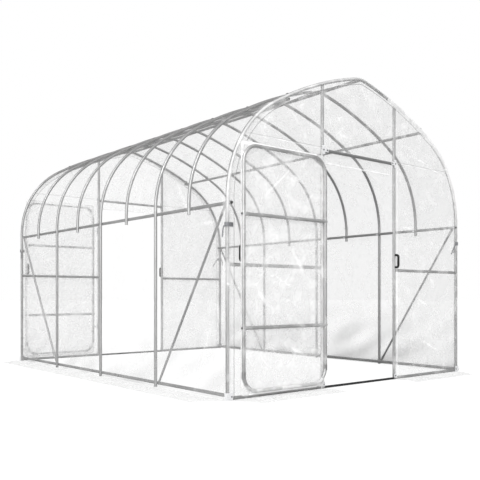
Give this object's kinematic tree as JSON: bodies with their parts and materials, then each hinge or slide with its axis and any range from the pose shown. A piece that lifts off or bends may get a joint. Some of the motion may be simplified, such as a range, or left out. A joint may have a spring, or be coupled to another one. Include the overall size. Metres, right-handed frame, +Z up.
{
  "type": "polytunnel greenhouse",
  "caption": "Walk-in polytunnel greenhouse: bent steel hoops under clear film, straight sides, pitched round-shouldered roof and a hinged film door in each gable.",
  "frame": {"origin": "middle of the footprint, on the ground", "axes": "+X across the tunnel to the right seen from the front, +Y along it to the back, +Z up"},
  "size_m": [2.8244, 3.5804, 2.1642],
  "materials": {
    "galvanised_tube": "galvanised, satin",
    "zinc_plate": "zinc plated",
    "dark_steel": "black powder coat",
    "black_plastic": "moulded, matte",
    "webbing": "woven strap",
    "clear_film": "clear polyethylene film, glossy"
  },
  "bodies": {
    "frame": {"front_hoop": "galvanised_tube", "back_hoop": "galvanised_tube", "inner_hoops": "galvanised_tube", "roof_bows": "galvanised_tube", "ridge_purlin": "galvanised_tube", "mid_purlins": "galvanised_tube", "side_rails": "galvanised_tube", "base_rails": "galvanised_tube", "corner_braces": "galvanised_tube", "door_posts": "galvanised_tube", "door_headers": "galvanised_tube", "thresholds": "dark_steel", "gable_mid_rails": "galvanised_tube", "gable_base_rails": "galvanised_tube", "right_wall_film": "clear_film", "left_wall_film": "clear_film", "right_shoulder_film": "clear_film", "left_shoulder_film": "clear_film", "right_roof_film": "clear_film", "left_roof_film": "clear_film", "cover_returns": "clear_film", "front_left_panel": "clear_film", "front_right_panel": "clear_film", "front_top_panel": "clear_film", "back_left_panel": "clear_film", "back_right_panel": "clear_film", "back_top_panel": "clear_film", "door_flaps": "clear_film", "right_skirt": "clear_film", "left_skirt": "clear_film", "gable_skirts": "clear_film", "corner_feet": "zinc_plate", "corner_straps": "webbing", "header_brackets": "zinc_plate", "post_clips": "zinc_plate", "post_handles": "black_plastic", "post_hinges": "zinc_plate"},
    "front_door": {"front_door_frame": "galvanised_tube", "front_door_film": "clear_film", "front_door_handle": "black_plastic", "front_door_hinges": "zinc_plate"},
    "back_door": {"back_door_frame": "galvanised_tube", "back_door_film": "clear_film", "back_door_handle": "black_plastic", "back_door_hinges": "zinc_plate"}
  },
  "joints": [
    {"name": "front_door_hinge", "type": "hinge", "parent": "frame", "child": "front_door", "pos_m": [-0.386, -1.611, 0.8], "axis": [0, 0, 1], "range_deg": [0, 180]},
    {"name": "back_door_hinge", "type": "hinge", "parent": "frame", "child": "back_door", "pos_m": [-0.386, 1.611, 0.8], "axis": [0, 0, -1], "range_deg": [0, 180]}
  ]
}
